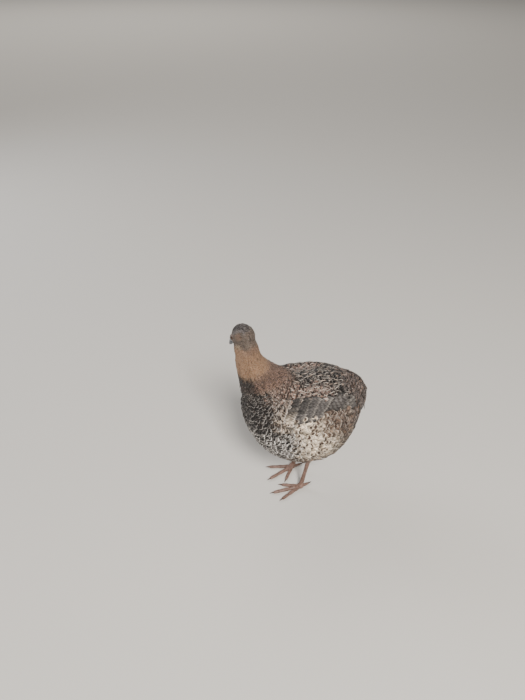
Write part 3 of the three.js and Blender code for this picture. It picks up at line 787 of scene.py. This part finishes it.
wingSet = {
    # count, first and last root (x, degrees up the side), first and last tip, width, lift
    "primaries": (5, (6, 38), (16, 45), (42, 37), (50, 43), 6.0, 0.9),
    "secondaries": (8, (-8, 37), (4, 53), (24, 35), (42, 50), 6.5, 1.2),
    "tertials": (4, (-5, 47), (0, 57), (30, 43), (40, 53), 8.5, 1.7),
    "greater": (11, (-17, 36), (-7, 58), (5, 35), (19, 54), 5.4, 1.7),
    "median": (11, (-22, 36), (-13, 59), (-4, 35), (9, 56), 5.0, 1.9),
    "lesser": (11, (-26, 37), (-18, 59), (-10, 35), (1, 57), 4.8, 2.0),
    "marginal": (11, (-31, 37), (-24, 60), (-17, 36), (-7, 58), 4.6, 2.1),
    "shoulder": (11, (-35, 38), (-29, 61), (-25, 37), (-15, 59), 4.4, 2.1),
}


def sidePoint(x, degrees, sign):  # the skin's point at x, seen from the body's axis at an angle up the side
    way = Vector((0, sign * math.cos(math.radians(degrees)), math.sin(math.radians(degrees))))
    start = Vector((x + shiftX, 0, axisZ))
    spot, _, face, _ = skinTree.ray_cast(start + way * 80, -way)
    if spot is None:
        return nearest(start + way * 40)
    return np.array(spot), skinNormals[skinFaces[face]].mean(0)


def makeWing(sideName, sign):
    draw = np.random.default_rng(31 + sign)
    vanes = []
    for kind, (count, rootA, rootB, tipA, tipB, width, lift) in wingSet.items():
        for k in range(count):
            share = k / (count - 1)
            root = np.array(rootA) + (np.array(rootB) - rootA) * share
            tip = np.array(tipA) + (np.array(tipB) - tipA) * share + draw.normal(0, 0.5, 2)
            hits = [sidePoint(*(root + (tip - root) * s), sign) for s in np.linspace(0, 1, vaneSet["knots"])]
            vanes.append((*zip(*hits), width, lift + 0.25 * share, kind, share))
    paths, normals, widths, lifts, kinds, shares = map(np.array, zip(*vanes))
    count = len(paths)
    marks = markings(paths[:, -1], 7)
    plain = {"base": tones["wing"], "mark": tones["wingMark"], "pale": tones["cream"],
             "marks": (0.45, 0.5, 0.1), "form": (7, -0.1, 0), "edges": (0.3, 0, 1), "dark": 0.45, "cover": 0.4}
    inPanel = rise(paths[:, -1, 0] - shiftX, -20, -9)
    for key, value in plain.items():
        share = inPanel if marks[key].ndim == 1 else inPanel[:, None]
        marks[key] += (np.array(value) - marks[key]) * share
    quills = np.isin(kinds, ("primaries", "secondaries"))
    marks["marks"][quills] = (0.4, 0.3, 0.1)
    marks["form"][quills] = (12, -0.08, 0)
    tertial = kinds == "tertials"
    marks["mark"][tertial] = tones["rumpMark"]
    marks["marks"][tertial] = (0.6, 0.3, 0.15)
    marks["form"][tertial] = (9, -0.1, 0)
    marks["form"][:, 2] = draw.uniform(0, 1, count)
    marks["edges"][:, 2] = draw.normal(1, 0.12, count)
    # painted shadow: the upper lesser and marginal coverts darker, in the pocket where the breast feathers lie
    # over the wing
    pocketShade = np.isin(kinds, ("lesser", "marginal")) & (shares > 0.35)
    marks["edges"][pocketShade, 2] *= 0.6
    piece = vaneMesh(f"wing_{sideName}_vanes", paths, unit(normals), widths, lifts, marks, 50 + sign, sunk=0.6,
                     camber=0.05, lean=0.05 * sign, ragged=0.35, widest=0.5, cuts=np.linspace(0, 0.985, 21))
    settle(piece, "wing_feathers", f"wing_{sideName}")


for sideName, sign in sides.items():
    makeWing(sideName, sign)
print("wings ready")


lanceSet = {
    # longer feathers along the back with a broad pale shaft: angles up the side, first and last root
    "rows": [(88, -16, 34), (79, -18, 32), (70, -10, 24)],
    "step": 6,
    "length": 16, "width": 4.4, "lift": 1.4,
}


def makeLances():
    draw = np.random.default_rng(21)
    spots = []
    for sign in sides.values():
        for k, (turn, first, last) in enumerate(lanceSet["rows"]):
            for x in np.arange(first + 3.7 * (k % 2), last, lanceSet["step"]):
                spots.append(sidePoint(x + draw.normal(0, 1.5), turn + draw.normal(0, 1.5), sign)[0])
    spots = np.array(spots)
    count = len(spots)
    ways = lie(spots) + draw.normal(0, 0.06, (count, 3))
    paths, normals = traced(spots, ways, lanceSet["length"] * draw.uniform(0.8, 1.15, count))
    marks = markings(paths[:, -1], 22)
    marks["pale"][:] = tones["zigzag"]
    marks["marks"][:, 2] = draw.uniform(0.7, 1.7, count)
    marks["edges"][:, :2] = 0.1, 0
    widths = lanceSet["width"] * draw.uniform(0.8, 1.2, count)
    lifts = lanceSet["lift"] * draw.uniform(0.85, 1.1, count)
    piece = vaneMesh("back_lances", paths, normals, widths, lifts, marks, 23, sunk=0.7, ragged=0.6, widest=0.5)
    settle(piece, "body_feathers")


makeLances()
print("lances ready")

tailSet = {
    "x": 53.5, "z": 111, "droop": 76, "arch": 0.02,
    # count, root along and half spread, tip along and half spread, width, lift
    "tiers": [(10, -1, 4, 27, 12, 6.5, 0.6), (8, -3, 6, 22, 11, 7, 1.6), (7, -6, 7, 15, 10, 7.5, 2.4)],
}
droop = math.radians(tailSet["droop"])
tailBack = np.array([math.cos(droop), 0, -math.sin(droop)])
tailUp = np.array([math.sin(droop), 0, math.cos(droop)])


def tailPoint(s, w, h):  # s along the tail, w across it, h above it
    root = np.array([tailSet["x"] + shiftX, w, tailSet["z"]])
    return root + tailBack * s + tailUp * (h - tailSet["arch"] * w * w)


def makeTail():
    draw = np.random.default_rng(5)
    vanes = []
    for count, rootS, rootW, tipS, tipW, width, lift in tailSet["tiers"]:
        for k in range(count):
            share = 2 * k / (count - 1) - 1
            end = tipS - 3.5 * abs(share) ** 1.5 + draw.normal(0, 0.5)
            path = []
            for s in np.linspace(0, 1, vaneSet["knots"]):
                across = (rootW + (tipW - rootW) * s) * share
                path.append(tailPoint(rootS + (end - rootS) * s, across, lift - 5.5 * (1 - s) ** 2))
            vanes.append((path, width, 0.5 + 0.3 * (1 - abs(share))))
    paths, widths, lifts = map(np.array, zip(*vanes))
    normals = np.tile(tailUp, (*paths.shape[:2], 1))
    normals[..., 1] = 2 * tailSet["arch"] * paths[..., 1]
    marks = markings(paths[:, -1], 9)
    marks["base"][:] = tones["rump"]
    marks["mark"][:] = tones["backMark"]
    marks["marks"][:] = (0.85, 0.3, 0.35)
    marks["form"][:, :2] = (8, -0.12)
    piece = vaneMesh("tail_vanes", paths, unit(normals), widths, lifts, marks, 60, sunk=0.3, camber=0.05,
                     ragged=0.4, cuts=np.linspace(0, 0.985, 19))
    settle(piece, "tail_feathers", "tail")


makeTail()
print("tail ready")


def gazePose(sign):  # from an eye's own axes, with the gaze along +Z and the head's top along +Y
    x, y, z = eyeSet["gaze"]
    gaze = Vector((x, sign * y, z)).normalized()
    across = Vector((0, 0, 1)).cross(gaze).normalized()
    turn = Matrix((across, gaze.cross(across), gaze)).transposed().to_4x4()
    spot = Matrix.Translation((eyeSet["x"], sign * eyeSet["y"], eyeSet["z"]))
    return Matrix.Scale(mm, 4) @ headPose @ spot @ turn


def finished(name, mesh, material, slot, *replaced):
    mesh.materials.clear()
    mesh.materials.append(material)
    settle(bpy.data.objects.get(name) or addObject(name, mesh), slot, *replaced)


def meshFrom(work, name):  # closed, faces outward
    if work.calc_volume(signed=True) < 0:
        bmesh.ops.reverse_faces(work, faces=work.faces)
    mesh = bpy.data.meshes.new(name)
    work.to_mesh(mesh)
    work.free()
    mesh.shade_smooth()
    return mesh


eyeGloss = Board("eyeGloss", 0.06, Coat_Weight=0.8, Coat_Roughness=0.03)
gaze = eyeGloss.attribute("gaze", "Fac")
iris = eyeGloss.mottle(eyeGloss.noise(2500, 2), eyeSet["tones"]["iris"], 0.35, 0.65)
inPupil = eyeGloss.ramp(gaze, eyeSet["pupil"] - 0.015, eyeSet["pupil"] + 0.01)
inIris = eyeGloss.ramp(gaze, eyeSet["iris"] - 0.03, eyeSet["iris"] + 0.03)
iris = eyeGloss.mix(inPupil, iris, linear(eyeSet["tones"]["pupil"]))
eyeGloss.colour(eyeGloss.mix(inIris, linear(eyeSet["tones"]["rim"]), iris))

lidSet = {
    # degrees from the gaze and distance from the eye's middle, round the lid's edge and back inside
    "profile": [(118, 3.0), (104, 3.14), (92, 3.24), (82, 3.24), (73, 3.28), (65, 3.22), (58, 3.24), (53, 3.2),
                (50, 3.12), (51, 3.02), (62, 2.96), (90, 2.9)],
    "steps": 52,
    "low": 0.84, "long": 1.1,  # how the opening is squashed, and drawn out at its corners
    "fold": 0.06, "folds": 13,  # their height and their number round the eye
    "tones": ("75685e", "463c36"),
}
lidSkin = Board("lidSkin", 0.6)
crease = lidSkin.noise(1600, 3)
lidSkin.colour(lidSkin.mottle(crease, lidSet["tones"]))
lidSkin.bump(crease, 0.4, 0.00012)


def makeEye(side, sign):
    ball = bmesh.new()
    bmesh.ops.create_uvsphere(ball, u_segments=36, v_segments=26, radius=eyeSet["radius"])
    shares = np.array([v.co.z for v in ball.verts]) / eyeSet["radius"]
    for vertex, share in zip(ball.verts, shares):
        vertex.co *= 1 + eyeSet["bulge"] * float(rise(share, 0.6, 1.0))
    ball.transform(gazePose(sign))
    mesh = meshFrom(ball, f"eyeball_{side}")
    addLayer(mesh, "gaze", shares)
    finished(f"eyeball_{side}", mesh, eyeGloss.material, "eye", f"eye_{side}")

    lid = bmesh.new()
    line = [lid.verts.new((far * math.sin(math.radians(turn)), 0, far * math.cos(math.radians(turn))))
            for turn, far in lidSet["profile"]]
    edges = [lid.edges.new(pair) for pair in zip(line, line[1:] + line[:1])]
    bmesh.ops.spin(lid, geom=line + edges, axis=(0, 0, 1), cent=(0, 0, 0), angle=2 * math.pi,
                   steps=lidSet["steps"], use_merge=True)
    bmesh.ops.remove_doubles(lid, verts=lid.verts, dist=1e-4)
    for vertex in lid.verts:
        far = vertex.co.length
        turn = math.degrees(math.acos(vertex.co.z / far))
        near = 1 - float(rise(turn, 50, 96))
        way = math.atan2(vertex.co.y, vertex.co.x)
        folds = math.sin(lidSet["folds"] * way) * math.sin(math.radians(turn * 9))
        far += lidSet["fold"] * folds * float(rise(turn, 54, 64))
        long, low = (1 + (lidSet[key] - 1) * near for key in ("long", "low"))
        shape = Vector((vertex.co.x * long, vertex.co.y * low, vertex.co.z))
        vertex.co = shape.normalized() * far
    lid.transform(gazePose(sign))
    bmesh.ops.recalc_face_normals(lid, faces=lid.faces)
    finished(f"lids_{side}", meshFrom(lid, f"lids_{side}"), lidSkin.material, "head_feathers")


for side, sign in sides.items():
    makeEye(side, sign)
print("eyes ready")


billSet = {
    "voxel": 0.13,
    "smooth": 5,
    "into": 2.6,  # how far its root runs on under the face's feathers
    "root": 11.7, "long": 10.1,  # where it starts, and its length in front of that
    "brow": 0.25, "browAt": (-12.9, 0.75), "browSize": (1.1, 0.4),  # the swelling over the nostril
    "tones": ("868a90", "6c6f75"), "tip": "3d3b3d", "cere": "a39a93",
}
billHorn = Board("billHorn", 0.45)
grain = billHorn.noise(900, 3)
toTip = billHorn.attribute("along", "Fac")
horn = billHorn.mottle(grain, billSet["tones"])
horn = billHorn.mix(billHorn.ramp(toTip, 0.55, 1.0, 0.0, 0.8), horn, linear(billSet["tip"]))
billHorn.colour(billHorn.mix(billHorn.ramp(toTip, 0.22, 0.05, 0.0, 0.6), horn, linear(billSet["cere"])))
lines = billHorn.calc("SINE", billHorn.calc("MULTIPLY_ADD", toTip, 90.0, billHorn.times(grain, 9.0)))
billHorn.bump(billHorn.calc("MULTIPLY_ADD", lines, 0.25, grain), 0.3, 0.00012)


def makeBill(half):
    piece = remeshed(f"horn_{half}", joinNodes([f"bill_{half}"], 0), billSet["voxel"], billSet["smooth"])
    points, normals = readPoints(piece.data)
    head = toHead(points)
    along = (-head[:, 0] - billSet["root"]) / billSet["long"]
    if half == "upper":
        far = (((head[:, [0, 2]] - billSet["browAt"]) / billSet["browSize"]) ** 2).sum(1)
        points += normals * (billSet["brow"] * np.exp(-far))[:, None]
    points += headTurn @ np.array([1.0, 0, 0]) * (billSet["into"] * rise(-along, -0.16, 0.02))[:, None]
    writePoints(piece.data, points)
    addLayer(piece.data, "along", along)
    finished(f"horn_{half}", piece.data, billHorn.material, "bill_horn", f"bill_{half}")


for half in ("upper", "lower"):
    makeBill(half)
print("bill ready")


legSet = {
    "voxel": 0.3,
    "smooth": 5,
    "grow": 0.3,
    "thicker": (0.42, 0.32),  # toes, shin
    "plate": 1.75, "toePlate": 1.35,  # mm from one plate to the next
    "groove": 0.14,
    "seam": 0.22,  # half the width of the groove between the shin's two rows of plates
    "shin": (5.5, 34),  # where its plates begin and end
    "foot": 13.1,  # from the middle to a foot
    # the last colour is the painted shade in the grooves between the plates
    "tones": ("86695d", "634c41"), "deep": "4e3930",
}
clawSet = {"voxel": 0.14, "smooth": 3, "grow": 0.12, "back": 0.05, "tones": ("5f4a40", "3b2c26")}
toes = ("inner", "middle", "outer", "hind")
legSkin = Board("legSkin", 0.5)
# painted shade: a darker colour in the grooves between the plates
grooveShade = legSkin.ramp(legSkin.attribute("groove", "Fac"), 0.1, 0.8, 0.0, 0.75)
hide = legSkin.mottle(legSkin.noise(350, 3), legSet["tones"])
legSkin.colour(legSkin.mix(grooveShade, hide, linear(legSet["deep"])))
grains = legSkin.add("TexVoronoi", {"Scale": 1500, "Vector": legSkin.place()})
legSkin.bump(grains.outputs["Distance"], 0.3, 0.00015)
clawHorn = Board("clawHorn", 0.35)
clawHorn.colour(clawHorn.mottle(clawHorn.noise(1200, 3), clawSet["tones"]))
clawHorn.bump(clawHorn.noise(2500, 2), 0.2, 0.0001)


def makeLeg(side, sign):
    names = [f"shank_{side}"] + [f"toe_{side}_{toe}" for toe in toes]
    leg = remeshed(f"leg_{side}", joinNodes(names, legSet["grow"]), legSet["voxel"], legSet["smooth"])
    points, normals = readPoints(leg.data)
    x, y, z = (points - [shiftX, sign * legSet["foot"], 0]).T
    away = np.hypot(x, y)

    def plates(distance, step):  # 1 in the groove between two plates
        return np.abs(2 * (distance / step % 1) - 1) ** 5

    low, high = legSet["shin"]
    shin = rise(z, low, low + 1.5) * rise(-z, -high, 2 - high) * rise(-normals[:, 0], -0.25, 0.15)
    toeTop = rise(-z, -5, -4) * rise(normals[:, 2], 0.0, 0.35) * rise(away, 3.2, 4)
    stagger = legSet["plate"] * 0.5 * (y > 0)  # two rows of plates down the shin
    seam = np.exp(-(y / legSet["seam"]) ** 2) * 0.8
    groove = np.maximum(plates(z + stagger, legSet["plate"]), seam) * shin
    groove += plates(away, legSet["toePlate"]) * toeTop
    thin, thick = legSet["thicker"]
    thicker = thin + (thick - thin) * rise(z, 2, 5)
    points -= normals * (legSet["grow"] - thicker + legSet["groove"] * groove)[:, None]
    points[:, 2] = points[:, 2].clip(0, None)
    writePoints(leg.data, points)
    addLayer(leg.data, "groove", groove)
    finished(f"leg_{side}", leg.data, legSkin.material, "leg_skin", *names)
    clawNames = [f"claw_{side}_{toe}" for toe in toes]
    claws = remeshed(f"claws_{side}", joinNodes(clawNames, clawSet["grow"]), clawSet["voxel"], clawSet["smooth"])
    points, normals = readPoints(claws.data)
    points -= normals * clawSet["back"]
    points[:, 2] = points[:, 2].clip(0, None)
    writePoints(claws.data, points)
    finished(f"claws_{side}", claws.data, clawHorn.material, "claw_horn", *clawNames)


for side, sign in sides.items():
    makeLeg(side, sign)
print("legs ready")
